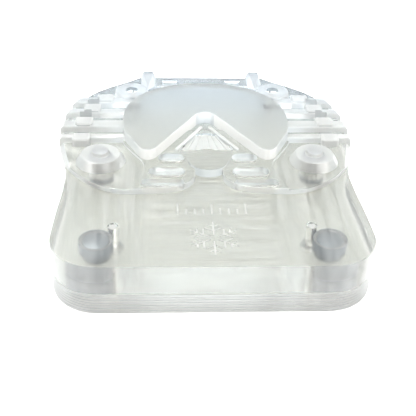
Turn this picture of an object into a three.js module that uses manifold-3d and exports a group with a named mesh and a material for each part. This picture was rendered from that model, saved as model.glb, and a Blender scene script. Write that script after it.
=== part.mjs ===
// Clear two-plate stomp pad: a carved tread plate that lifts off a flat base plate.
// Units are millimetres, +Z up. Plan places are measured from the front edge (y = 0)
// and the centre line (x = 0); the finished group is moved back by half its depth.
import * as THREE from 'three';
import { mergeVertices } from 'three/addons/utils/BufferGeometryUtils.js';
import Module from 'manifold-3d';

const wasm = await Module();
wasm.setup();

// ---- driving dimensions -------------------------------------------------
const DEPTH = 133;              // front edge to back edge
const CORNER_R = 16.7;          // front corners of both plates
const CORNER_X = 38.3;          // centre of the front corner arcs
const BACK_HALF_WIDTH = 27.2;   // half of the straight back edge

const SHEET_T = 0.5;            // adhesive sheet
const SHEET_INSET = 0.985;      // sheet outline as a share of the plate outline
const BASE_T = 7.9;             // base plate
const PARTING_GAP = 0.2;        // air gap between the plates
const TREAD_T = 11.4;           // tread plate up to its deck

const BASE_Z = SHEET_T;
const BASE_TOP = BASE_Z + BASE_T;
const TREAD_Z = BASE_TOP + PARTING_GAP;
const DECK_Z = TREAD_Z + TREAD_T;

// heights of the carved levels above the deck
const LOBE_H = 1.8;
const CHEEK_H = 2.6;
const NOSE_H = 3.2;
const GOGGLE_H = 7.0;
const RIDGE_H = 4.0;
const TOOTH_H = 5.0;
const CREST_H = 4.6;
const STUD_H = 5.0;
const BUTTON_H = 6.5;

const FIT_GAP = 0.25;           // radial play round every loose piece
const ROUND = 32;               // sides of a round piece

// ---- places -------------------------------------------------------------
const FRONT_MAGNET = { x: 39.6, y: 16.2 };
const PEG = { x: 34.1, y: 22.3 };
const STUD = { x: 40.3, y: 61.5 };
const BOSS = { x: 30.0, y: 113.5 };

// ---- small tools --------------------------------------------------------
const SIDES = [['left', -1], ['right', 1]];

function solid(geometry) {
  const bare = geometry.clone();
  bare.deleteAttribute('normal');
  bare.deleteAttribute('uv');
  const merged = mergeVertices(bare, 1e-4);
  const vertProperties = new Float32Array(merged.attributes.position.array);
  const triVerts = new Uint32Array(merged.index.array);
  return new wasm.Manifold(new wasm.Mesh({ numProp: 3, vertProperties, triVerts }));
}

function geometryOf(body) {
  const mesh = body.getMesh();
  const geometry = new THREE.BufferGeometry();
  geometry.setAttribute('position', new THREE.BufferAttribute(new Float32Array(mesh.vertProperties), 3));
  geometry.setIndex(new THREE.BufferAttribute(new Uint32Array(mesh.triVerts), 1));
  geometry.computeVertexNormals();
  return geometry;
}

// an upright prism of a flat outline between two heights
function prism(shape, low, high) {
  const depth = high - low;
  const geometry = new THREE.ExtrudeGeometry(shape, { depth, bevelEnabled: false, curveSegments: 6 });
  return solid(geometry.translate(0, 0, low));
}

function post(radius, low, high, x, y, sides = ROUND) {
  const geometry = new THREE.CylinderGeometry(radius, radius, high - low, sides);
  return solid(geometry.rotateX(Math.PI / 2).translate(x, y, (low + high) / 2));
}

// a turned body from [radius, height] points that start and end on the axis
function turned(profile, x, y) {
  const points = profile.map(([r, z]) => new THREE.Vector2(r, z));
  return solid(new THREE.LatheGeometry(points, ROUND).rotateX(Math.PI / 2).translate(x, y, 0));
}

function block(x0, x1, y0, y1, z0, z1) {
  const geometry = new THREE.BoxGeometry(x1 - x0, y1 - y0, z1 - z0);
  return solid(geometry.translate((x0 + x1) / 2, (y0 + y1) / 2, (z0 + z1) / 2));
}

const vec = ([x, y]) => new THREE.Vector2(x, y);

// a closed outline from its right half, which runs from the front to the back
function mirrored(path, steps = 3) {
  const right = path.getPoints(steps);
  const left = right.filter((p) => p.x > 1e-6).reverse().map((p) => new THREE.Vector2(-p.x, p.y));
  return new THREE.Shape([...right, ...left]);
}

// the same body on the left and on the right
function both(make) {
  return make(-1).add(make(1));
}

// a slot with round ends, from x0 to x1, cut down to a floor
function pill(x0, x1, y, width, low, high) {
  const r = width / 2;
  const shape = new THREE.Shape();
  shape.moveTo(x0 + r, y - r);
  shape.lineTo(x1 - r, y - r);
  shape.absarc(x1 - r, y, r, -Math.PI / 2, Math.PI / 2, false);
  shape.lineTo(x0 + r, y + r);
  shape.absarc(x0 + r, y, r, Math.PI / 2, Math.PI * 1.5, false);
  return prism(shape, low, high);
}

// ---- outlines -----------------------------------------------------------
// both plates: square front, round front corners, a waist, and a wide round back
function plateOutline() {
  const half = new THREE.Path();
  half.moveTo(0, 0);
  half.lineTo(CORNER_X, 0);
  half.absarc(CORNER_X, CORNER_R, CORNER_R, -Math.PI / 2, 0, false);
  half.splineThru([
    [54.2, 31], [53.1, 45], [53.0, 56], [55.2, 66], [57.2, 76],
    [57.3, 86], [56.2, 96], [53.4, 106], [48.4, 115.6], [41, 122.8], [33, 128.4],
    [BACK_HALF_WIDTH, DEPTH],
  ].map(vec));
  half.lineTo(0, DEPTH);
  return mirrored(half);
}

// front edge of the carved part: two lobes with the nose between them
const CROWN_FRONT = [[5.4, 50], [7.6, 46], [11.8, 43.3], [18, 42.2], [28.4, 41.5]];
const LOBE_FRONT = [[35.2, 42.6], [40.8, 45.4], [46.2, 49.8], [50.8, 55.6], [54, 61]];

function crownOutline() {
  const half = new THREE.Path();
  half.moveTo(0, 57);
  half.lineTo(5.1, 57);
  half.splineThru([...CROWN_FRONT, ...LOBE_FRONT].map(vec));
  half.lineTo(70, 70);
  half.lineTo(70, DEPTH + 10);
  half.lineTo(0, DEPTH + 10);
  return mirrored(half);
}

function cheekOutline() {
  const half = new THREE.Path();
  half.moveTo(0, 57);
  half.lineTo(5.1, 57);
  half.splineThru(CROWN_FRONT.map(vec));
  half.splineThru([[25.2, 48.5], [24.0, 55], [25.0, 60.5], [28.2, 66], [32.0, 73], [33.4, 80]].map(vec));
  half.lineTo(0, 84);
  return mirrored(half);
}

// goggle plateau: an oval with an upside-down V cut into its front
const V_FOOT = { x: 19.6, y: 62.6 };
const V_TOP = { x: 3.6, y: 88.6 };

function goggleOutline() {
  const half = new THREE.Path();
  half.moveTo(0, 90.6);
  half.quadraticCurveTo(2.2, 90.6, V_TOP.x, V_TOP.y);
  half.lineTo(V_FOOT.x, V_FOOT.y);
  half.splineThru([
    [22.0, 60.9], [25.2, 62.2], [29.0, 69.6], [32.0, 76.6], [32.7, 86],
    [31.5, 95], [27.3, 103.6], [20.2, 110.4], [10.5, 114.9], [0, 116],
  ].map(vec));
  return mirrored(half);
}

// ---- carved tread -------------------------------------------------------
// ridges run sideways from the goggle to the rim; each is [front, back] in y
const RIDGES = [[74.6, 79.2], [82.9, 89.9], [94.2, 99.8], [103.0, 109.2]];
const RIDGE_SLOPE = 0.9;
const RIDGE_INNER_X = 26;       // the ridges die into the goggle's side wall
const RIDGE_LENGTH = 40;
// a tooth stands on the rim end of each ridge and a pocket is cut behind it
const TEETH = [
  { x: 48.4, y0: 71.6, y1: 77.2 }, { x: 48.2, y0: 84.0, y1: 90.2 },
  { x: 45.6, y0: 95.4, y1: 101.2 }, { x: 40.6, y0: 104.4, y1: 109.6 },
];
const TOOTH_HALF = 3.4;
const TOOTH_HIP = 0.9;          // its front corners are cut off by this much
const POCKET = { halfX: 2.4, length: 5.8, depth: 6.5 };
const SLOTS = [
  { x0: 9.0, x1: 18.7, y: 62.6, width: 5.6 }, { x0: 8.8, x1: 22.4, y: 52.8, width: 6.2 },
  { x0: 9.2, x1: 25.2, y: 45.6, width: 4.6 },
];
const SLOT_DEPTH = 3.0;
const BACK_SLOT = { x0: 10.4, x1: 17.2, y: 128.2, width: 3.4, depth: 4.0 };

function ridge([front, back], side) {
  const top = DECK_Z + RIDGE_H;
  const profile = new THREE.Shape([
    vec([front - RIDGE_SLOPE, DECK_Z - 1]), vec([back + RIDGE_SLOPE, DECK_Z - 1]),
    vec([back - RIDGE_SLOPE, top]), vec([front + RIDGE_SLOPE, top]),
  ]);
  const bar = new THREE.ExtrudeGeometry(profile, { depth: RIDGE_LENGTH, bevelEnabled: false });
  // the profile's x is the part's y: stand it up, then lay the bar across the plate
  bar.rotateX(Math.PI / 2).rotateZ(Math.PI / 2);
  bar.translate(side > 0 ? RIDGE_INNER_X : -RIDGE_INNER_X - RIDGE_LENGTH, 0, 0);
  return solid(bar);
}

function tooth(side, { x, y0, y1 }) {
  const inner = TOOTH_HALF - TOOTH_HIP;
  const shape = new THREE.Shape([
    [-inner, y0], [inner, y0], [TOOTH_HALF, y0 + TOOTH_HIP], [TOOTH_HALF, y1],
    [-TOOTH_HALF, y1], [-TOOTH_HALF, y0 + TOOTH_HIP],
  ].map(([dx, y]) => new THREE.Vector2(side * x + dx, y)));
  return prism(shape, DECK_Z - 1, DECK_Z + TOOTH_H);
}

function studBody(x, y) {
  return turned([
    [0, DECK_Z - 1], [9.4, DECK_Z - 1], [9.4, DECK_Z + LOBE_H], [7.5, DECK_Z + STUD_H - 0.4],
    [7.2, DECK_Z + STUD_H], [3.4, DECK_Z + STUD_H], [3.1, DECK_Z + BUTTON_H], [0, DECK_Z + BUTTON_H],
  ], x, y);
}

function bossBody(x, y) {
  return turned([
    [0, DECK_Z - 1], [8.0, DECK_Z - 1], [6.9, DECK_Z + STUD_H - 0.5], [6.4, DECK_Z + STUD_H],
    [0, DECK_Z + STUD_H],
  ], x, y);
}

// a faceted crest block at each end of the back edge
function crest(side) {
  const profile = new THREE.Shape([
    vec([120.4, DECK_Z - 1]), vec([DEPTH, DECK_Z - 1]), vec([DEPTH, DECK_Z + LOBE_H]),
    vec([130.2, DECK_Z + CREST_H]), vec([121.6, DECK_Z + LOBE_H + 0.9]),
  ]);
  const width = 6.4;
  const wedge = new THREE.ExtrudeGeometry(profile, { depth: width, bevelEnabled: false });
  wedge.rotateX(Math.PI / 2).rotateZ(Math.PI / 2);
  wedge.translate(side * 23.2 - width / 2, 0, 0);
  return solid(wedge);
}

function fanCut() {
  const fan = new THREE.Shape([[-10.4, 68], [10.4, 68], [4.8, 79.6], [0, 81], [-4.8, 79.6]].map(vec));
  return prism(fan, DECK_Z + CHEEK_H - 0.6, DECK_Z + CHEEK_H + 1);
}

function browBar(side) {
  const length = 20;
  const bar = new THREE.BoxGeometry(length, 1.5, 1.2);
  bar.rotateZ(-side * Math.atan2(17, 10));
  bar.translate(side * 6.6, 76.6, DECK_Z + CHEEK_H + 0.1);
  return solid(bar);
}

function magnetBore(place, radius, top) {
  return both((side) => post(radius, TREAD_Z - 1, top, side * place.x, place.y));
}

const MAGNET = {
  front: { place: FRONT_MAGNET, r: 4.6, bore: 5.8, top: DECK_Z - 2.6 },
  stud: { place: STUD, r: 4.5, bore: 4.5 + FIT_GAP, top: DECK_Z + 3.2 },
  boss: { place: BOSS, r: 4.0, bore: 4.0 + FIT_GAP, top: DECK_Z - 1.2 },
};
const BASE_MAGNET_T = 4.0;
const PEG_R = 1.65;
const PEG_HOLE_R = PEG_R + FIT_GAP;

function treadPlate() {
  const outline = plateOutline();
  const rim = prism(outline, DECK_Z - 1, DECK_Z + GOGGLE_H + 1);
  let relief = prism(crownOutline(), DECK_Z - 1, DECK_Z + LOBE_H);
  for (const span of RIDGES) relief = relief.add(both((side) => ridge(span, side)));
  for (const place of TEETH) relief = relief.add(both((side) => tooth(side, place)));
  relief = relief.intersect(rim);
  relief = relief.add(prism(cheekOutline(), DECK_Z - 1, DECK_Z + CHEEK_H));
  relief = relief.add(prism(goggleOutline(), DECK_Z - 1, DECK_Z + GOGGLE_H));
  relief = relief.add(post(7.7, DECK_Z - 1, DECK_Z + NOSE_H, 0, 60.4));
  relief = relief.add(both((side) => studBody(side * STUD.x, STUD.y)));
  relief = relief.add(both((side) => bossBody(side * BOSS.x, BOSS.y)));
  relief = relief.add(crest(-1)).add(crest(1));

  let plate = prism(outline, TREAD_Z, DECK_Z).add(relief);
  plate = plate.subtract(fanCut()).add(both(browBar));
  for (const { x0, x1, y, width } of SLOTS) {
    const floor = DECK_Z + CHEEK_H - SLOT_DEPTH;
    const right = pill(x0, x1, y, width, floor, DECK_Z + CHEEK_H + 1);
    const left = pill(-x1, -x0, y, width, floor, DECK_Z + CHEEK_H + 1);
    plate = plate.subtract(right).subtract(left);
  }
  for (const { x, y1 } of TEETH) {
    plate = plate.subtract(both((side) => block(
      side * x - POCKET.halfX, side * x + POCKET.halfX, y1, y1 + POCKET.length,
      DECK_Z + RIDGE_H - POCKET.depth, DECK_Z + GOGGLE_H)));
  }
  const backFloor = DECK_Z + LOBE_H - BACK_SLOT.depth;
  for (const [, side] of SIDES) {
    const ends = [side * BACK_SLOT.x0, side * BACK_SLOT.x1].sort((a, b) => a - b);
    plate = plate.subtract(pill(ends[0], ends[1], BACK_SLOT.y, BACK_SLOT.width, backFloor, DECK_Z + 5));
  }
  for (const { place, bore, top } of Object.values(MAGNET)) {
    plate = plate.subtract(magnetBore(place, bore, top + FIT_GAP));
  }
  plate = plate.subtract(both((side) => post(2.5, DECK_Z - 2, DECK_Z + 9, side * BOSS.x, BOSS.y)));
  return plate.subtract(both((side) => post(PEG_HOLE_R, TREAD_Z - 1, DECK_Z + 1, side * PEG.x, PEG.y)));
}

// ---- base ---------------------------------------------------------------
const HEX_ACROSS_CORNERS = 6.35;
const HEX_T = 2.6;

function hexPrism(radius, low, high, x, y) {
  return post(radius, low, high, x, y, 6);
}

function basePlate() {
  let plate = prism(plateOutline(), BASE_Z, BASE_TOP);
  for (const { place, r } of Object.values(MAGNET)) {
    plate = plate.subtract(both((side) => post(
      r + FIT_GAP, BASE_TOP - BASE_MAGNET_T - FIT_GAP, BASE_TOP + 1, side * place.x, place.y)));
  }
  const hexR = HEX_ACROSS_CORNERS / 2 + FIT_GAP;
  plate = plate.subtract(both((side) => hexPrism(hexR, BASE_Z - 1, BASE_Z + HEX_T + FIT_GAP, side * PEG.x, PEG.y)));
  return plate.subtract(both((side) => post(PEG_HOLE_R, BASE_Z, BASE_TOP + 1, side * PEG.x, PEG.y)));
}

function adhesiveSheet() {
  const shape = plateOutline();
  const sheet = new THREE.ExtrudeGeometry(shape, { depth: SHEET_T, bevelEnabled: false });
  sheet.translate(0, -DEPTH / 2, 0).scale(SHEET_INSET, SHEET_INSET, 1).translate(0, DEPTH / 2, 0);
  return solid(sheet);
}

function peg(x, y) {
  const head = hexPrism(HEX_ACROSS_CORNERS / 2, BASE_Z + 0.1, BASE_Z + HEX_T, x, y);
  return head.add(post(PEG_R, BASE_Z + HEX_T - 0.5, DECK_Z - 0.1, x, y, 24));
}

// ---- colours ------------------------------------------------------------
const clear = (color, roughness) => new THREE.MeshStandardMaterial({
  color, roughness, metalness: 0, transparent: true, opacity: 0.35,
});
const COLOURS = {
  tread: () => clear(0xdcdfd8, 0.2),
  base: () => clear(0xe4e6db, 0.25),
  sheet: () => clear(0xe8e9e2, 0.4),
  sleeve: () => clear(0xd9ddd8, 0.3),
  magnet: () => new THREE.MeshStandardMaterial({ color: 0x707a80, roughness: 0.3, metalness: 0.9 }),
  nylon: () => new THREE.MeshStandardMaterial({ color: 0xf2f1ea, roughness: 0.5, metalness: 0 }),
};

// ---- assembly -----------------------------------------------------------
const pad = new THREE.Group();

function addNode(name, body, colour) {
  const mesh = new THREE.Mesh(geometryOf(body), COLOURS[colour]());
  mesh.name = name;
  pad.add(mesh);
}

addNode('adhesive_sheet', adhesiveSheet(), 'sheet');
addNode('base_plate', basePlate(), 'base');
addNode('tread_plate', treadPlate(), 'tread');

for (const [word, side] of SIDES) {
  addNode(`locating_peg_${word}`, peg(side * PEG.x, PEG.y), 'nylon');
  for (const [kind, { place, r, top }] of Object.entries(MAGNET)) {
    const x = side * place.x;
    addNode(`tread_${kind}_magnet_${word}`, post(r, TREAD_Z, top, x, place.y), 'magnet');
    addNode(`base_${kind}_magnet_${word}`, post(r, BASE_TOP - BASE_MAGNET_T, BASE_TOP, x, place.y), 'magnet');
  }
  // a clear spacer ring centres the front magnet in its wider bore
  const { place, r, bore, top } = MAGNET.front;
  const ring = post(bore - FIT_GAP, TREAD_Z, top, side * place.x, place.y)
    .subtract(post(r + FIT_GAP, TREAD_Z - 1, top + 1, side * place.x, place.y));
  addNode(`magnet_sleeve_${word}`, ring, 'sleeve');
}

pad.position.y = -DEPTH / 2;

export default pad;
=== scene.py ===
# Looks for the clear two-plate stomp pad: a carved tread plate on a flat base plate.
import math

import bmesh
import bpy
from mathutils import Matrix, Vector


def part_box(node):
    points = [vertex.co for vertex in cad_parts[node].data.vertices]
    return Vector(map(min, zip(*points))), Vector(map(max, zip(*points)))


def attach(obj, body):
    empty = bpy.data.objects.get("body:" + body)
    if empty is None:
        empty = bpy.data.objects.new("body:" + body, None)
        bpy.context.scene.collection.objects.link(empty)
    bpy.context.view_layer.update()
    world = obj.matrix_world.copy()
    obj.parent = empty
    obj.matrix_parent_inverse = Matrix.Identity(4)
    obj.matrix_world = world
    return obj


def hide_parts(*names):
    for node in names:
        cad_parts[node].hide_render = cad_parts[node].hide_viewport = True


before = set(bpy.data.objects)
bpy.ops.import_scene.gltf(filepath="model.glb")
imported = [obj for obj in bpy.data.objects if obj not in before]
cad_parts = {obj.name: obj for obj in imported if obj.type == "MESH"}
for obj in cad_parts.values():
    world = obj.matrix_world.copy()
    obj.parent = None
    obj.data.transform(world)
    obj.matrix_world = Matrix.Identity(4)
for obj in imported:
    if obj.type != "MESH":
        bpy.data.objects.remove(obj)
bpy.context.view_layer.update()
MM = 0.001

# ---- camera -------------------------------------------------------------
# A long lens a little left of the centre line, looking down on the front edge.
CAMERA_PLACE = (-17.7 * MM, -278.2 * MM, 191.3 * MM)
CAMERA_DOWN = math.radians(34.94)
CAMERA_TURN = math.radians(3.85)
CAMERA_ROLL = math.radians(2.03)
CAMERA_LENS = 73.55

camera = bpy.data.objects.new("camera", bpy.data.cameras.new("camera"))
camera.data.lens = CAMERA_LENS
camera.data.sensor_width = 36
camera.data.clip_start = 0.01
camera.matrix_world = (
    Matrix.Translation(CAMERA_PLACE)
    @ Matrix.Rotation(-CAMERA_TURN, 4, "Z")
    @ Matrix.Rotation(math.pi / 2 - CAMERA_DOWN, 4, "X")
    @ Matrix.Rotation(CAMERA_ROLL, 4, "Z")
)
bpy.context.scene.collection.objects.link(camera)
bpy.context.scene.camera = camera

# ---- floor, sky and lamps ----------------------------------------------
# A white table that glows a little, as a light table does, under a soft pale sky.
FLOOR_GLOW = 0.55
SKY_STRENGTH = 1.12
WARM_SKY = (0.98, 0.96, 0.92, 1)
COOL_SKY = (0.84, 0.92, 1.0, 1)
COOL_SIDE = (-0.35, 0.9, 0.25)
FLOOR_DROP = 0.2

bpy.ops.mesh.primitive_plane_add(size=6, location=(0, 0, -FLOOR_DROP * MM))
floor = bpy.context.object
floor.name = "floor"


def white_table():
    mat = bpy.data.materials.new("white_table")
    mat.use_nodes = True
    bsdf = mat.node_tree.nodes["Principled BSDF"]
    bsdf.inputs["Base Color"].default_value = (0.9, 0.9, 0.9, 1)
    bsdf.inputs["Roughness"].default_value = 0.9
    bsdf.inputs["Emission Color"].default_value = (1, 1, 1, 1)
    bsdf.inputs["Emission Strength"].default_value = FLOOR_GLOW
    return mat


floor.data.materials.append(white_table())


def pale_sky():
    world = bpy.data.worlds.new("pale_sky")
    world.use_nodes = True
    nodes, links = world.node_tree.nodes, world.node_tree.links
    coords = nodes.new("ShaderNodeTexCoord")
    towards = nodes.new("ShaderNodeVectorMath")
    towards.operation = "DOT_PRODUCT"
    towards.inputs[1].default_value = COOL_SIDE
    ramp = nodes.new("ShaderNodeValToRGB")
    ramp.color_ramp.elements[0].position = 0.0
    ramp.color_ramp.elements[0].color = WARM_SKY
    ramp.color_ramp.elements[1].position = 0.8
    ramp.color_ramp.elements[1].color = COOL_SKY
    links.new(coords.outputs["Generated"], towards.inputs[0])
    links.new(towards.outputs["Value"], ramp.inputs[0])
    links.new(ramp.outputs[0], nodes["Background"].inputs["Color"])
    nodes["Background"].inputs["Strength"].default_value = SKY_STRENGTH
    return world


bpy.context.scene.world = pale_sky()


def softbox(name, place, size, watts):
    lamp = bpy.data.lights.new(name, "AREA")
    lamp.shape = "SQUARE"
    lamp.size = size
    lamp.energy = watts
    box = bpy.data.objects.new(name, lamp)
    box.location = place
    box.rotation_euler = (-Vector(place)).to_track_quat("-Z", "Y").to_euler()
    bpy.context.scene.collection.objects.link(box)


softbox("softbox_over", (-0.25, 0.15, 0.75), 0.6, 7)
softbox("softbox_front", (0.35, -0.55, 0.6), 0.4, 4)

scene = bpy.context.scene
scene.view_settings.view_transform = "Standard"
scene.cycles.max_bounces = 28
scene.cycles.transmission_bounces = 24
scene.cycles.glossy_bounces = 8
scene.cycles.transparent_max_bounces = 12

# ---- adhesive sheet -----------------------------------------------------
# A clear, soft acrylic foam adhesive, cut to the plates' outline a little small,
# pressed on the underside of the base plate. It holds the pad on the board.
tread_low, tread_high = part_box("tread_plate")
base_low, base_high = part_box("base_plate")
sheet_low, sheet_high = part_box("adhesive_sheet")
FRONT_Y = tread_low.y
DEPTH = (tread_high.y - tread_low.y) / MM
SHEET_SHARE = (sheet_high.y - sheet_low.y) / (tread_high.y - tread_low.y)
CORNER = Vector((38.3, 16.7))
SIDE = [
    (55.0, 16.7), (54.2, 31), (53.1, 45), (53.0, 56), (55.2, 66), (57.2, 76),
    (57.3, 86), (56.2, 96), (53.4, 106), (48.4, 115.6), (41, 122.8), (33, 128.4),
    (27.2, DEPTH),
]


def arc(centre, radius, start, end, steps):
    """Points round an arc, from one angle in degrees to another."""
    turns = [math.radians(start + (end - start) * k / steps) for k in range(steps + 1)]
    return [Vector(centre) + radius * Vector((math.cos(t), math.sin(t))) for t in turns]


def smooth_run(points, steps=8):
    """A smooth line through points, with steps pieces between each two."""
    points = [Vector(p) for p in points]
    last = len(points) - 1
    run = []
    for i in range(last):
        here, there = points[i], points[i + 1]
        leave = (there - points[max(i - 1, 0)]) / 2
        arrive = (points[min(i + 2, last)] - here) / 2
        for k in range(steps):
            t = k / steps
            run.append(
                here * (2 * t**3 - 3 * t**2 + 1)
                + leave * (t**3 - 2 * t**2 + t)
                + there * (3 * t**2 - 2 * t**3)
                + arrive * (t**3 - t**2)
            )
    return run + [points[last]]


def both_sides(right):
    """A closed outline from its right half, which runs from front to back."""
    left = [Vector((-p[0], p[1])) for p in reversed(right) if p[0] > 1e-6]
    return [Vector(p) for p in right] + left


def stadium(start, end, width, steps=14):
    """The outline of a slot with round ends, whose end centres are start and end."""
    start, end = Vector(start), Vector(end)
    along = math.degrees(math.atan2(end.y - start.y, end.x - start.x))
    far_end = arc(end, width / 2, along - 90, along + 90, steps)
    return far_end + arc(start, width / 2, along + 90, along + 270, steps)


def plate_outline():
    corner = arc(CORNER, CORNER.y, -90, 0, 20)
    return both_sides([(0, 0), *corner[:-1], *smooth_run(SIDE), (0, DEPTH)])


# marks for the kinds of face, carried as material indexes until the finish is set
(
    POLISHED, MILLED, FROSTED, HAZED, TURNED, SATIN, SWEPT,
    CUT, SAWN, SHADED, HALF_SHADED, SWEPT_SHADED, MAGNET_REFLECTION, HONED,
) = range(14)


def prism(
    outline, low, high, top_round=0.0, low_round=0.0, steps=3,
    wall=POLISHED, top=MILLED, under=HAZED,
):
    """An upright block of a flat outline between two heights in metres, edges rounded."""
    bm = bmesh.new()
    corners = [bm.verts.new((x * MM, FRONT_Y + y * MM, low)) for x, y in outline]
    face = bm.faces.new(corners)
    lifted = bmesh.ops.extrude_face_region(bm, geom=[face])["geom"]
    up = [v for v in lifted if isinstance(v, bmesh.types.BMVert)]
    bmesh.ops.translate(bm, vec=(0, 0, high - low), verts=up)
    bmesh.ops.recalc_face_normals(bm, faces=bm.faces[:])
    for f in bm.faces:
        f.material_index = wall if abs(f.normal.z) < 0.5 else top if f.normal.z > 0 else under
    for rounding, z in ((top_round, high), (low_round, low)):
        rim = [e for e in bm.edges if all(abs(v.co.z - z) < 1e-7 for v in e.verts)]
        if rounding:
            bmesh.ops.bevel(
                bm, geom=rim, offset=rounding * MM, segments=steps, profile=0.5,
                affect="EDGES", material=-1,
            )
    return bm


def piece(bm, name):
    """A bmesh as an object in the scene."""
    mesh = bpy.data.meshes.new(name)
    bm.to_mesh(mesh)
    bm.free()
    body = bpy.data.objects.new(name, mesh)
    bpy.context.scene.collection.objects.link(body)
    return body


def shade(body, angle=14):
    """Smooth shading on curved walls, with every real corner kept sharp."""
    body.data.shade_smooth()
    body.data.set_sharp_from_angle(angle=math.radians(angle))


def dress(body, mat):
    """One material over the whole piece, whatever marks and empty slots it had."""
    body.data.materials.clear()
    for face in body.data.polygons:
        face.material_index = 0
    body.data.materials.append(mat)


def foam_adhesive():
    mat = bpy.data.materials.new("foam_adhesive")
    mat.use_nodes = True
    nodes, links = mat.node_tree.nodes, mat.node_tree.links
    bsdf = nodes["Principled BSDF"]
    bsdf.inputs["Base Color"].default_value = (0.93, 0.94, 0.9, 1)
    bsdf.inputs["Transmission Weight"].default_value = 0.9
    bsdf.inputs["IOR"].default_value = 1.47
    coords = nodes.new("ShaderNodeTexCoord")
    cells = nodes.new("ShaderNodeTexNoise")
    cells.inputs["Scale"].default_value = 900
    spread = nodes.new("ShaderNodeMapRange")
    spread.inputs["To Min"].default_value = 0.25
    spread.inputs["To Max"].default_value = 0.45
    bump = nodes.new("ShaderNodeBump")
    bump.inputs["Strength"].default_value = 0.1
    bump.inputs["Distance"].default_value = 0.0001
    links.new(coords.outputs["Object"], cells.inputs["Vector"])
    links.new(cells.outputs["Fac"], spread.inputs["Value"])
    links.new(spread.outputs["Result"], bsdf.inputs["Roughness"])
    links.new(cells.outputs["Fac"], bump.inputs["Height"])
    links.new(bump.outputs["Normal"], bsdf.inputs["Normal"])
    return mat


SHEET_AIR = 0.04
SHEET_ROUND = 0.12
middle = Vector((0, DEPTH / 2))
sheet_outline = [middle + (p - middle) * SHEET_SHARE for p in plate_outline()]
sheet_top = sheet_high.z - SHEET_AIR * MM
sheet = piece(
    prism(sheet_outline, sheet_low.z, sheet_top, SHEET_ROUND, SHEET_ROUND, 2), "adhesive_foam"
)
dress(sheet, foam_adhesive())
shade(sheet)
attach(sheet, "base")
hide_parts("adhesive_sheet")

# ---- base plate ---------------------------------------------------------
# The lower plate, sawn and milled from clear cast acrylic. Each level pass of the
# cutter left a fine groove round its edge, and the grooves are painted grey as shade. Bores from
# above hold six magnets; the bore walls are painted dark as the magnets' dark reflection.
PASSES = 7
PASS_ROUND = 0.15
MAGNET_PLACES = {"front": (39.6, 16.2), "stud": (40.3, 61.5), "boss": (30.0, 113.5)}
PEG_PLACE = (34.1, 22.3)
GLUE_GAP = 0.25
PEG_RADIUS, PEG_PLAY = 1.65, 0.25
HEX_RADIUS, HEX_T = 3.175, 2.6


def combine(body, tool, how):
    """Joins, cuts or crosses body with tool, which is used up."""
    step = body.modifiers.new("step", "BOOLEAN")
    step.operation, step.solver, step.object = how, "MANIFOLD", tool
    solved = body.evaluated_get(bpy.context.evaluated_depsgraph_get())
    made = bpy.data.meshes.new_from_object(solved)
    body.modifiers.clear()
    body.data = made
    bpy.data.objects.remove(tool)


def cut(body, bm):
    combine(body, piece(bm, "cutter"), "DIFFERENCE")


def add(body, bm):
    combine(body, piece(bm, "block"), "UNION")


def disc(x, y, radius, sides=48):
    return arc((x, y), radius, 0, 360, sides)[:-1]


HAZE_SPREAD = 0.5
# the colour is painted cooler towards the back, as the bluish light from behind makes it; the grey is
# painted in as shade, and as the magnets' dark reflection round their bores
FRONT_TINT = (0.945, 0.945, 0.925, 1)
BACK_LIGHT_TINT = (0.860, 0.920, 0.985, 1)
CLEAR_BODY = (0.84, 0.853, 0.764, 1)
SHADE_GREY = (0.22, 0.25, 0.28, 1)


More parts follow.
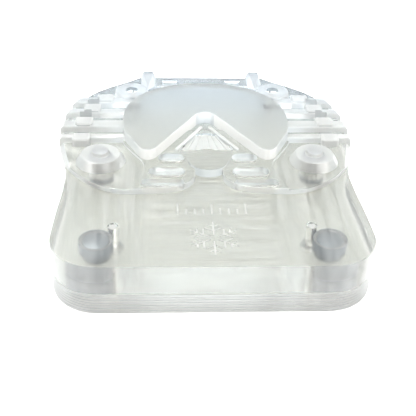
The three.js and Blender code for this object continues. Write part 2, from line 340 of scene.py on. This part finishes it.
def cast_acrylic(name, depth_tint):
    """Clear acrylic whose faces are polished, milled, frosted, turned or swept.
    The face attribute called finish says how much of each, and a second one how much grey is painted into
    their colour as shade."""
    mat = bpy.data.materials.new(name)
    mat.use_nodes = True
    nodes, links = mat.node_tree.nodes, mat.node_tree.links
    bsdf = nodes["Principled BSDF"]
    bsdf.inputs["IOR"].default_value = 1.49

    def math_node(kind, a, b=None):
        node = nodes.new("ShaderNodeMath")
        node.operation = kind
        for socket, value in zip(node.inputs, (a, b)):
            if hasattr(value, "is_output"):
                links.new(value, socket)
            elif value is not None:
                socket.default_value = value
        return node.outputs[0]

    finish = nodes.new("ShaderNodeAttribute")
    finish.attribute_name = "finish"
    parts = nodes.new("ShaderNodeSeparateColor")
    links.new(finish.outputs["Color"], parts.inputs[0])
    frost, milled, turned = parts.outputs[0], parts.outputs[1], parts.outputs[2]
    swept = finish.outputs["Alpha"]

    coords = nodes.new("ShaderNodeTexCoord")

    def noise(scale, detail):
        """Noise on the piece's own coordinates, stretched where the three scales differ."""
        stretch = nodes.new("ShaderNodeMapping")
        stretch.inputs["Scale"].default_value = scale
        texture = nodes.new("ShaderNodeTexNoise")
        texture.inputs["Scale"].default_value = 1
        texture.inputs["Detail"].default_value = detail
        links.new(coords.outputs["Object"], stretch.inputs["Vector"])
        links.new(stretch.outputs[0], texture.inputs["Vector"])
        return texture.outputs["Fac"]

    grain = noise((1400, 1400, 1400), 2)
    # the base colour is warm in front and painted cooler towards the back, as the bluish light from behind
    along = nodes.new("ShaderNodeMapRange")
    along.inputs["From Min"].default_value = FRONT_Y
    along.inputs["From Max"].default_value = -FRONT_Y
    tint = nodes.new("ShaderNodeValToRGB")
    tint.color_ramp.elements[0].position = 0.65
    tint.color_ramp.elements[0].color = FRONT_TINT
    tint.color_ramp.elements[1].color = BACK_LIGHT_TINT
    # the base colour is mixed towards grey by each face's share of painted shade
    shaded_colour = nodes.new("ShaderNodeMix")
    shaded_colour.data_type = "RGBA"
    shaded_colour.inputs["B"].default_value = SHADE_GREY
    painted_shade = nodes.new("ShaderNodeAttribute")
    painted_shade.attribute_name = "painted_shade"
    links.new(painted_shade.outputs["Fac"], shaded_colour.inputs["Factor"])
    links.new(along.outputs["Result"], tint.inputs["Fac"])
    links.new(tint.outputs["Color"], shaded_colour.inputs["A"])
    links.new(shaded_colour.outputs["Result"], bsdf.inputs["Base Color"])

    place = nodes.new("ShaderNodeSeparateXYZ")
    links.new(coords.outputs["Object"], place.inputs[0])
    links.new(place.outputs["Y"], along.inputs["Value"])
    across = math_node("ABSOLUTE", place.outputs["X"])

    def away_from(x, y):
        dx = math_node("SUBTRACT", across, x * MM)
        dy = math_node("SUBTRACT", place.outputs["Y"], FRONT_Y + y * MM)
        squares = math_node("ADD", math_node("MULTIPLY", dx, dx), math_node("MULTIPLY", dy, dy))
        return math_node("SQRT", squares)

    def rings(distance, spacing):
        """Fine tool rings, uneven as real ones are, at a spacing in millimetres."""
        wobble = nodes.new("ShaderNodeTexNoise")
        wobble.noise_dimensions = "1D"
        wobble.inputs["Scale"].default_value = 1
        wobble.inputs["Detail"].default_value = 2
        links.new(math_node("MULTIPLY", distance, 1 / (spacing * MM)), wobble.inputs["W"])
        return wobble.outputs["Fac"]

    side_magnets = [away_from(*MAGNET_PLACES[kind]) for kind in ("stud", "boss")]
    turned_rings = rings(math_node("MINIMUM", *side_magnets), 0.35)
    swept_rings = rings(away_from(0, 84), 0.5)

    # the cutter ran back and forth on the deck, but sideways in the middle of the front
    to_the_side = nodes.new("ShaderNodeMapRange")
    to_the_side.interpolation_type = "SMOOTHSTEP"
    to_the_side.inputs["From Min"].default_value = 15 * MM
    to_the_side.inputs["From Max"].default_value = 25 * MM
    links.new(across, to_the_side.inputs["Value"])
    blend = nodes.new("ShaderNodeMix")
    links.new(to_the_side.outputs["Result"], blend.inputs["Factor"])
    links.new(noise((30, 700, 100), 3), blend.inputs["A"])
    links.new(noise((500, 22, 100), 3), blend.inputs["B"])
    streaks = blend.outputs["Result"]

    def about_even(pattern, share):
        return math_node("MULTIPLY", math_node("SUBTRACT", pattern, 0.5), share)

    uneven = math_node("ADD", about_even(streaks, milled), about_even(turned_rings, turned))
    uneven = math_node("ADD", uneven, about_even(swept_rings, math_node("MULTIPLY", swept, 0.4)))
    tooled = math_node("MAXIMUM", math_node("MAXIMUM", milled, turned), swept)

    pitted = math_node("MULTIPLY", math_node("MULTIPLY", frost, frost), 0.5)
    height = math_node("ADD", math_node("MULTIPLY", uneven, 0.35), math_node("MULTIPLY", grain, pitted))
    bump = nodes.new("ShaderNodeBump")
    bump.inputs["Strength"].default_value = 0.35
    bump.inputs["Distance"].default_value = 0.0001
    links.new(height, bump.inputs["Height"])
    links.new(bump.outputs["Normal"], bsdf.inputs["Normal"])

    haze = math_node("ADD", frost, math_node("MULTIPLY", uneven, HAZE_SPREAD))
    haze = math_node("MAXIMUM", haze, 0.0)
    rough = math_node("ADD", math_node("MULTIPLY", frost, 0.8), math_node("MULTIPLY", tooled, 0.19))
    links.new(math_node("ADD", rough, 0.04), bsdf.inputs["Roughness"])
    clear = math_node("SUBTRACT", 1.0, math_node("MULTIPLY", haze, 0.8))
    links.new(clear, bsdf.inputs["Transmission Weight"])

    absorption = nodes.new("ShaderNodeVolumeAbsorption")
    absorption.inputs["Color"].default_value = CLEAR_BODY
    absorption.inputs["Density"].default_value = depth_tint
    links.new(absorption.outputs[0], nodes["Material Output"].inputs["Volume"])
    return mat


# how frosted, milled, turned and swept each kind of face is, and how much grey is painted into its colour
# as shade: most round the magnets, in the pockets and grooves, a little on turned, satin, swept and honed
# faces
FINISHES = {
    POLISHED: (0.0, 0.0, 0.0, 0.0, 0.0), MILLED: (0.06, 0.8, 0.0, 0.0, 0.0),
    FROSTED: (0.85, 0.0, 0.0, 0.0, 0.0), HAZED: (0.01, 0.25, 0.0, 0.0, 0.0),
    TURNED: (0.35, 0.0, 0.5, 0.0, 0.3), SATIN: (0.35, 0.2, 0.0, 0.0, 0.1),
    SWEPT: (0.12, 0.0, 0.0, 0.8, 0.1), CUT: (0.15, 0.4, 0.0, 0.0, 0.0),
    SAWN: (0.24, 0.3, 0.0, 0.0, 0.0), SHADED: (0.6, 0.0, 0.0, 0.0, 0.45),
    HALF_SHADED: (0.4, 0.2, 0.0, 0.0, 0.3), SWEPT_SHADED: (0.3, 0.0, 0.0, 0.5, 0.45),
    MAGNET_REFLECTION: (0.8, 0.0, 0.0, 0.0, 1.0), HONED: (0.2, 0.4, 0.0, 0.0, 0.08),
}


def finish_faces(body, mat):
    """Turns each face's mark into the finish attribute, and gives the piece one material."""
    mesh = body.data
    mesh.attributes.new("finish", "FLOAT_COLOR", "CORNER")
    mesh.attributes.new("painted_shade", "FLOAT", "CORNER")
    finish = mesh.attributes["finish"]
    painted_shade = mesh.attributes["painted_shade"]
    for face in mesh.polygons:
        *grades, grey = FINISHES[face.material_index]
        for corner in face.loop_indices:
            finish.data[corner].color = grades
            painted_shade.data[corner].value = grey
    dress(body, mat)
    shade(body)


def base_body():
    thick = (base_high.z - base_low.z) / PASSES
    core = [middle + (p - middle) * 0.99 for p in plate_outline()]
    body = piece(prism(core, base_low.z + 0.1 * MM, base_high.z - 0.1 * MM), "acrylic_base")
    for k in range(PASSES):
        low = base_low.z + k * thick - (0.01 * MM if k else 0)
        high = base_low.z + (k + 1) * thick
        add(body, prism(plate_outline(), low, high, PASS_ROUND, PASS_ROUND, 1, SAWN, HAZED, HAZED))
    # the slanted faces of the grooves are painted grey as shade
    for face in body.data.polygons:
        if 0.3 < abs(face.normal.z) < 0.9:
            face.material_index = SHADED
    return body


base = base_body()
for side in (-1, 1):
    for kind, (x, y) in MAGNET_PLACES.items():
        low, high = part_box(f"base_{kind}_magnet_" + ("left" if side < 0 else "right"))
        bore = disc(side * x, y, (high.x - low.x) / 2 / MM + GLUE_GAP)
        # the bore walls are painted dark, as the magnets' dark reflection in the acrylic
        cut(base, prism(bore, low.z - GLUE_GAP * MM, high.z + MM, wall=MAGNET_REFLECTION, under=MILLED))
    x, y = PEG_PLACE
    socket = arc((side * x, y), HEX_RADIUS + PEG_PLAY, 0, 360, 6)[:-1]
    cut(base, prism(socket, base_low.z - MM, base_low.z + (HEX_T + PEG_PLAY) * MM, top=POLISHED))
    cut(base, prism(disc(side * x, y, PEG_RADIUS + PEG_PLAY, 32), base_low.z, base_high.z + MM))
finish_faces(base, cast_acrylic("base_acrylic", 5))
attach(base, "base")
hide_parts("base_plate")

# ---- tread plate --------------------------------------------------------
# The upper plate, milled from one clear block: a flat deck in front, and behind it a
# carved crown with a goggle-shaped plateau, cheeks, a nose, cross ridges and teeth.
# It lies loose on the base plate, and the magnets pull it down.
DECK_T = 11.4
deck = tread_low.z + DECK_T * MM
SUNK = -1.0
LOBE, CHEEK, NOSE, RIDGE, TOOTH, CREST, GOGGLE = 1.8, 2.6, 3.2, 4.0, 5.0, 4.6, 7.0
EDGE = 0.3


def above(height):
    """A height in millimetres above the deck, in metres."""
    return deck + height * MM


def soften(bm, radius, low, steps=2):
    """Rounds every corner sharper than 25 degrees that lies above a height."""
    sharp = [
        e for e in bm.edges
        if min(v.co.z for v in e.verts) > low and e.calc_face_angle(0) > math.radians(25)
    ]
    bmesh.ops.bevel(
        bm, geom=sharp, offset=radius * MM, segments=steps, profile=0.5,
        affect="EDGES", material=-1,
    )


def raised(outline, height, rounding=EDGE, steps=3, wall=SATIN, top=MILLED):
    """A carved level: it stands on the deck and its foot is sunk in the plate."""
    return prism(outline, above(SUNK), above(height), rounding, 0, steps, wall, top)


def bar(profile, x0, x1, rounding, steps=3, mark=SAWN):
    """A bar across the plate: a profile of (y, height) points, drawn out from x0 to x1."""
    bm = bmesh.new()
    end = bm.faces.new([bm.verts.new((x0 * MM, FRONT_Y + y * MM, above(h))) for y, h in profile])
    lifted = bmesh.ops.extrude_face_region(bm, geom=[end])["geom"]
    moved = [v for v in lifted if isinstance(v, bmesh.types.BMVert)]
    bmesh.ops.translate(bm, vec=((x1 - x0) * MM, 0, 0), verts=moved)
    bmesh.ops.recalc_face_normals(bm, faces=bm.faces[:])
    for f in bm.faces:
        f.material_index = mark
    soften(bm, rounding, above(SUNK / 2), steps)
    return bm


def turned(profile, x, y, rounding=0.0, mark=TURNED, sides=72):
    """A turned body: a half profile of (radius, height in metres) spun round an upright axis."""
    bm = bmesh.new()
    line = [bm.verts.new((r * MM, 0, z)) for r, z in profile]
    edges = [bm.edges.new(pair) for pair in zip(line, line[1:])]
    bmesh.ops.spin(
        bm, geom=line + edges, axis=(0, 0, 1), cent=(0, 0, 0), dvec=(0, 0, 0),
        angle=2 * math.pi, steps=sides, use_merge=True, use_duplicate=False,
    )
    bmesh.ops.remove_doubles(bm, verts=bm.verts[:], dist=1e-6)
    bmesh.ops.recalc_face_normals(bm, faces=bm.faces[:])
    for f in bm.faces:
        f.material_index = mark
    if rounding:
        soften(bm, rounding, -1)
    bmesh.ops.translate(bm, vec=(x * MM, FRONT_Y + y * MM, 0), verts=bm.verts[:])
    return bm


# the crown's front edge: a lobe on each side, with the notch under the nose between them
CROWN_FRONT = [(5.1, 57), (5.4, 50), (7.6, 46), (11.8, 43.3), (18, 42.2), (28.4, 41.5)]
LOBE_FRONT = [(35.2, 42.6), (40.8, 45.4), (46.2, 49.8), (50.8, 55.6), (54, 61)]
CHEEK_SIDE = [(28.4, 41.5), (25.2, 48.5), (24, 55), (25, 60.5), (28.2, 66), (32, 73), (33.4, 80)]
front_run = smooth_run(CROWN_FRONT + LOBE_FRONT)
cheek_run = front_run[: (len(CROWN_FRONT) - 1) * 8 + 1]
OUT = 70

tread = piece(prism(plate_outline(), tread_low.z, deck, 0.2, 0.2, wall=CUT), "acrylic_tread")

LOBE_CHAMFER = 1.7
crown_outline = both_sides([(0, 57), *front_run, (OUT, 70), (OUT, DEPTH + 10), (0, DEPTH + 10)])
crown = piece(raised(crown_outline, LOBE, 0.2, 2), "crown")
rim = prism(plate_outline(), above(SUNK), above(LOBE + 0.04), LOBE_CHAMFER, 0, 1, SATIN)
combine(crown, piece(rim, "rim"), "INTERSECT")

# ridges run sideways from the goggle to the rim; each is (front, back) in y
RIDGES = [(74.6, 79.2), (82.9, 89.9), (94.2, 99.8), (103.0, 109.2)]
RIDGE_SLOPE = 0.9
RIDGE_INNER = 26
# a tooth stands on the rim end of each ridge: (x, front, back)
TEETH = [(48.4, 71.6, 77.2), (48.2, 84.0, 90.2), (45.6, 95.4, 101.2), (40.6, 104.4, 109.6)]
TOOTH_HALF = 3.4
TOOTH_CHAMFER = 0.5
TOOTH_HIP = 0.9
# the pockets behind the teeth, with the tooth faces that close them, are painted grey as shade: fully
# behind the first two teeth, half behind the third, not behind the fourth
POCKET_MARKS = (SHADED, SHADED, HALF_SHADED, CUT)
RIM_CHAMFER = 2.2

ribs = None
for side in (-1, 1):
    for front, back in RIDGES:
        profile = [
            (front - RIDGE_SLOPE, SUNK), (back + RIDGE_SLOPE, SUNK),
            (back - RIDGE_SLOPE, RIDGE), (front + RIDGE_SLOPE, RIDGE),
        ]
        rib = bar(profile, side * RIDGE_INNER, side * OUT, 0.5, 4)
        if ribs is None:
            ribs = piece(rib, "ribs")
        else:
            add(ribs, rib)
    for x, front, back in TEETH:
        nose_half = TOOTH_HALF - TOOTH_HIP
        corners = [
            (-nose_half, front), (nose_half, front), (TOOTH_HALF, front + TOOTH_HIP),
            (TOOTH_HALF, back), (-TOOTH_HALF, back), (-TOOTH_HALF, front + TOOTH_HIP),
        ]
        tooth = raised([(side * x + dx, y) for dx, y in corners], TOOTH, TOOTH_CHAMFER, 1, top=SATIN)
        # the front face of each later tooth takes the painted shade of the pocket in front of it
        for f in tooth.faces:
            if f.normal.y < -0.9 and front > TEETH[0][1]:
                f.material_index = POCKET_MARKS[TEETH.index((x, front, back)) - 1]
        add(ribs, tooth)
rim = prism(plate_outline(), above(SUNK), above(RIDGE + 1), RIM_CHAMFER, 0, 1, SATIN)
combine(ribs, piece(rim, "rim"), "INTERSECT")
combine(crown, ribs, "UNION")
combine(tread, crown, "UNION")

# cheeks, nose and goggle plateau
cheeks = raised(both_sides([(0, 57), *cheek_run, *smooth_run(CHEEK_SIDE)[1:], (0, 84)]), CHEEK, 0.25)
for f in cheeks.faces:
    if abs(f.normal.x) > 0.6:
        f.material_index = SATIN
add(tread, cheeks)
V_FOOT = (19.6, 62.6)
V_TURN = 26
V_TOP = (3.6, 88.6)
V_ARCH = [(0, 90.6), (1.2, 90.3), (2.5, 89.7)]
GOGGLE_SIDE = [
    V_FOOT, (22.0, 60.9), (25.2, 62.2), (29.0, 69.6), (32.0, 76.6), (32.7, 86), (31.5, 95),
    (27.3, 103.6), (20.2, 110.4), (10.5, 114.9), (0, 116),
]
goggle_outline = both_sides([*V_ARCH, V_TOP, *smooth_run(GOGGLE_SIDE)])
goggle = raised(goggle_outline, GOGGLE, 0.35, 3, SATIN, SWEPT)
# the V's straight walls are frosted; round the arch they are swept and painted greyer as shade
for f in goggle.faces:
    place = f.calc_center_median()
    inside = abs(place.x) < V_TURN * MM and place.y < FRONT_Y + V_ARCH[0][1] * MM
    if inside and f.normal.y < -0.2 and abs(f.normal.z) < 0.5:
        straight = V_TOP[0] * MM < abs(place.x)
        f.material_index = FROSTED if straight else SWEPT_SHADED
add(tread, goggle)
# the nose's wall is painted greyer as shade
add(tread, raised(disc(0, 60.4, 7.7, 80), NOSE, 0.3, wall=SWEPT_SHADED))

# fan of folds under the brow: a shallow recess with thin raised ribs
FAN = [(-10.4, 68), (10.4, 68), (4.8, 79.6), (0, 81), (-4.8, 79.6)]
FAN_DEPTH = 0.7
cut(tread, prism(FAN, above(CHEEK - FAN_DEPTH), above(CHEEK + 1), 0, 0, under=SATIN))
for k in (-2.5, -1.5, -0.5, 0.5, 1.5, 2.5):
    fold = stadium((k * 3.4, 67.2), (k * 1.5, 80), 0.5, 6)
    add(tread, prism(fold, above(SUNK), above(CHEEK - 0.2), 0.12, 0, 1, SATIN, SATIN))
for side in (-1, 1):
    slant = Vector((side * 10, -17)).normalized() * 9.6
    middle_of_bar = Vector((side * 6.6, 76.6))
    brow = stadium(middle_of_bar - slant, middle_of_bar + slant, 1.5)
    add(tread, raised(brow, CHEEK + 0.7, 0.35, 3, wall=SATIN, top=SATIN))

# studs and bosses over the side magnets
for side in (-1, 1):
    x, y = MAGNET_PLACES["stud"]
    stud = [
        (0, above(SUNK)), (9.4, above(SUNK)), (9.4, above(LOBE - 0.1)), (7.5, above(4.6)),
        (7.2, above(5.0)), (3.4, above(5.0)), (3.1, above(6.5)), (0, above(6.5)),
    ]
    flare = turned(stud, side * x, y, 0.25, HONED)
    for f in flare.faces:
        if f.normal.z > 0.9:
            f.material_index = TURNED
    add(tread, flare)
    x, y = MAGNET_PLACES["boss"]
    boss = [(0, above(SUNK)), (8.0, above(SUNK)), (6.9, above(4.4)), (6.4, above(5.0)), (0, above(5.0))]
    add(tread, turned(boss, side * x, y, 0.3))

# a faceted crest at each end of the back edge
CREST_X = 23.2
for side in (-1, 1):
    bm = bmesh.new()
    for half, y, h in (
        (3.2, 121.4, SUNK), (3.2, DEPTH - 0.15, SUNK), (3.2, 123.0, LOBE - 0.2),
        (3.2, DEPTH - 0.15, LOBE), (1.9, 129.6, CREST), (2.1, 132.2, CREST - 0.2),
    ):
        for way in (-1, 1):
            bm.verts.new(((side * CREST_X + way * half) * MM, FRONT_Y + y * MM, above(h)))
    bm.verts.new((side * CREST_X * MM, FRONT_Y + 119.6 * MM, above(LOBE + 0.3)))
    bmesh.ops.convex_hull(bm, input=bm.verts[:])
    bmesh.ops.recalc_face_normals(bm, faces=bm.faces[:])
    # the crest's facets are painted grey as shade, the inner ones more matt and so darker than the outer
    for f in bm.faces:
        f.material_index = SHADED if f.normal.x * side < -0.15 else SWEPT_SHADED
    add(tread, bm)

# slots in the cheeks: (x0, x1, y, width)
SLOTS = [(9.0, 18.7, 62.6, 5.6), (8.8, 22.4, 52.8, 6.2), (9.2, 25.2, 45.6, 4.6)]
SLOT_DEPTH = 3.0
POCKET_HALF, POCKET_LENGTH, POCKET_DEPTH = 2.4, 5.8, 6.5
for side in (-1, 1):
    for x0, x1, y, width in SLOTS:
        ends = sorted((side * (x0 + width / 2), side * (x1 - width / 2)))
        hollow = stadium((ends[0], y), (ends[1], y), width)
        floor_z = above(CHEEK - SLOT_DEPTH)
        cut(tread, prism(hollow, floor_z, above(CHEEK + 1), 0, 1.4, 6, wall=HONED, under=HONED))
    for (x, front, back), mark in zip(TEETH, POCKET_MARKS):
        corners = [
            (side * x - POCKET_HALF, back), (side * x + POCKET_HALF, back),
            (side * x + POCKET_HALF, back + POCKET_LENGTH), (side * x - POCKET_HALF, back + POCKET_LENGTH),
        ]
        floor_z = above(RIDGE - POCKET_DEPTH)
        cut(tread, prism(corners, floor_z, above(GOGGLE), 0, 0.3, 2, mark, under=mark))
    back_slot = sorted((side * 12.1, side * 15.5))
    hollow = stadium((back_slot[0], 128.2), (back_slot[1], 128.2), 3.4)
    cut(tread, prism(hollow, above(LOBE - 4), above(5), 0, 1.2, 4))

# bores from below for the magnets, the bosses' openings and the peg holes
# bore walls painted dark round the front magnets and lighter grey round the studs' magnets, as their dark
# reflection; plain round the bosses'
BORE_WALLS = {"front": MAGNET_REFLECTION, "stud": HALF_SHADED, "boss": CUT}
BOSS_HOLE = 2.5
for side in (-1, 1):
    word = "left" if side < 0 else "right"
    for kind, (x, y) in MAGNET_PLACES.items():
        low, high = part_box(f"tread_{kind}_magnet_{word}")
        if kind == "front":
            ring_low, ring_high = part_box(f"magnet_sleeve_{word}")
            radius = (ring_high.x - ring_low.x) / 2 / MM + GLUE_GAP
        else:
            radius = (high.x - low.x) / 2 / MM + GLUE_GAP
        bore = disc(side * x, y, radius, 64)
        wall = BORE_WALLS[kind]
        cut(tread, prism(bore, tread_low.z - MM, high.z + GLUE_GAP * MM, wall=wall, top=CUT))
    x, y = MAGNET_PLACES["boss"]
    cut(tread, prism(disc(side * x, y, BOSS_HOLE), above(-2), above(9)))
    x, y = PEG_PLACE
    cut(tread, prism(disc(side * x, y, PEG_RADIUS + PEG_PLAY, 32), tread_low.z - MM, above(1)))

# marks cut in the deck: a row of plain measuring ticks, and a snowflake under it
MARK_WIDTH, MARK_DEPTH = 0.6, 0.35
TICKS, TICK_STEP, TICK_FOOT = 9, 3, 29.5
LONG_TICK, SHORT_TICK = 6.0, 3.0
FLAKE_ARM, FLAKE_HEART = 9, 1.6
# twigs on each arm of the snowflake: (share of the arm, length)
TWIGS = [(0.45, 3.2), (0.72, 2.0)]


def engrave(start, end):
    line = stadium(start, end, MARK_WIDTH, 6)
    cut(tread, prism(line, above(-MARK_DEPTH), above(0.5), wall=SATIN, under=SATIN))


for k in range(TICKS):
    tick = LONG_TICK if k % 4 == 0 else SHORT_TICK
    x = TICK_STEP * (k - TICKS // 2)
    engrave((x, TICK_FOOT), (x, TICK_FOOT + tick))
FLAKE = Vector((0, 15.5))
for k in range(6):
    out = Vector((math.cos(math.radians(30 + 60 * k)), math.sin(math.radians(30 + 60 * k))))
    engrave(FLAKE + out * FLAKE_HEART, FLAKE + out * FLAKE_ARM)
    for share, length in TWIGS:
        root = FLAKE + out * FLAKE_ARM * share
        for turn in (-60, 60):
            twig = Matrix.Rotation(math.radians(turn), 2) @ out
            engrave(root, root + twig * length)

finish_faces(tread, cast_acrylic("tread_acrylic", 8))
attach(tread, "tread")
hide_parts("tread_plate")

# ---- magnets and sleeves ------------------------------------------------
# Twelve nickel-plated neodymium discs, six in each plate, glued in their bores. A clear
# turned sleeve centres each of the two front ones in its wider bore, whose wall is painted dark as the
# magnets' dark reflection.


def nickel_plate():
    mat = bpy.data.materials.new("nickel_plate")
    mat.use_nodes = True
    nodes, links = mat.node_tree.nodes, mat.node_tree.links
    bsdf = nodes["Principled BSDF"]
    bsdf.inputs["Metallic"].default_value = 1.0
    coords = nodes.new("ShaderNodeTexCoord")
    scuffs = nodes.new("ShaderNodeTexNoise")
    scuffs.inputs["Scale"].default_value = 700
    scuffs.inputs["Detail"].default_value = 4
    tint = nodes.new("ShaderNodeValToRGB")
    tint.color_ramp.elements[0].color = (0.10, 0.12, 0.135, 1)
    tint.color_ramp.elements[1].color = (0.24, 0.27, 0.29, 1)
    spread = nodes.new("ShaderNodeMapRange")
    spread.inputs["To Min"].default_value = 0.22
    spread.inputs["To Max"].default_value = 0.42
    bump = nodes.new("ShaderNodeBump")
    bump.inputs["Strength"].default_value = 0.15
    bump.inputs["Distance"].default_value = 0.0001
    links.new(coords.outputs["Object"], scuffs.inputs["Vector"])
    links.new(scuffs.outputs["Fac"], tint.inputs["Fac"])
    links.new(scuffs.outputs["Fac"], spread.inputs["Value"])
    links.new(scuffs.outputs["Fac"], bump.inputs["Height"])
    links.new(tint.outputs["Color"], bsdf.inputs["Base Color"])
    links.new(spread.outputs["Result"], bsdf.inputs["Roughness"])
    links.new(bump.outputs["Normal"], bsdf.inputs["Normal"])
    return mat


nickel = nickel_plate()
sleeve_acrylic = cast_acrylic("sleeve_acrylic", 8)
for side, word in ((-1, "left"), (1, "right")):
    for kind, (x, y) in MAGNET_PLACES.items():
        for body in ("tread", "base"):
            name = f"{body}_{kind}_magnet_{word}"
            low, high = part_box(name)
            radius = (high.x - low.x) / 2 / MM
            profile = [(0, low.z), (radius, low.z), (radius, high.z), (0, high.z)]
            disc_body = piece(turned(profile, side * x, y, 0.3, POLISHED), f"disc_{name}")
            dress(disc_body, nickel)
            shade(disc_body, 30)
            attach(disc_body, body)
            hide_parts(name)
    x, y = MAGNET_PLACES["front"]
    low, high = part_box(f"magnet_sleeve_{word}")
    magnet_low, magnet_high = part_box(f"tread_front_magnet_{word}")
    outside = (high.x - low.x) / 2 / MM
    inside = (magnet_high.x - magnet_low.x) / 2 / MM + GLUE_GAP
    profile = [(inside, low.z), (outside, low.z), (outside, high.z), (inside, high.z), (inside, low.z)]
    sleeve = piece(turned(profile, side * x, y, 0.2, CUT), f"turned_sleeve_{word}")
    finish_faces(sleeve, sleeve_acrylic)
    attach(sleeve, "tread")
    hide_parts(f"magnet_sleeve_{word}")

# ---- locating pegs ------------------------------------------------------
# Two white nylon pegs with hexagonal heads let into the base plate from below. The
# tread plate's holes drop over their shanks, whose ends lie level with the deck. The
# nylon is darker than real white nylon, which the strong light would bleach.


def white_nylon():
    mat = bpy.data.materials.new("white_nylon")
    mat.use_nodes = True
    nodes, links = mat.node_tree.nodes, mat.node_tree.links
    bsdf = nodes["Principled BSDF"]
    bsdf.inputs["Subsurface Weight"].default_value = 0.25
    bsdf.inputs["Subsurface Radius"].default_value = (0.0012, 0.0011, 0.001)
    coords = nodes.new("ShaderNodeTexCoord")
    cloud = nodes.new("ShaderNodeTexNoise")
    cloud.inputs["Scale"].default_value = 500
    tint = nodes.new("ShaderNodeValToRGB")
    tint.color_ramp.elements[0].color = (0.33, 0.335, 0.32, 1)
    tint.color_ramp.elements[1].color = (0.39, 0.395, 0.38, 1)
    spread = nodes.new("ShaderNodeMapRange")
    spread.inputs["To Min"].default_value = 0.35
    spread.inputs["To Max"].default_value = 0.55
    bump = nodes.new("ShaderNodeBump")
    bump.inputs["Strength"].default_value = 0.2
    bump.inputs["Distance"].default_value = 0.0001
    links.new(coords.outputs["Object"], cloud.inputs["Vector"])
    links.new(cloud.outputs["Fac"], tint.inputs["Fac"])
    links.new(cloud.outputs["Fac"], spread.inputs["Value"])
    links.new(cloud.outputs["Fac"], bump.inputs["Height"])
    links.new(tint.outputs["Color"], bsdf.inputs["Base Color"])
    links.new(spread.outputs["Result"], bsdf.inputs["Roughness"])
    links.new(bump.outputs["Normal"], bsdf.inputs["Normal"])
    return mat


nylon = white_nylon()
for side, word in ((-1, "left"), (1, "right")):
    low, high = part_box(f"locating_peg_{word}")
    x, y = PEG_PLACE
    hexagon = arc((side * x, y), HEX_RADIUS, 0, 360, 6)[:-1]
    peg = piece(prism(hexagon, low.z, base_low.z + HEX_T * MM, 0.3, 0.3, 2), f"nylon_peg_{word}")
    shank = [(0, low.z + MM), (PEG_RADIUS, low.z + MM), (PEG_RADIUS, high.z - 0.4 * MM),
             (PEG_RADIUS - 0.4, high.z), (0, high.z)]
    add(peg, turned(shank, side * x, y, 0, POLISHED, 48))
    dress(peg, nylon)
    shade(peg, 30)
    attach(peg, "base")
    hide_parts(f"locating_peg_{word}")
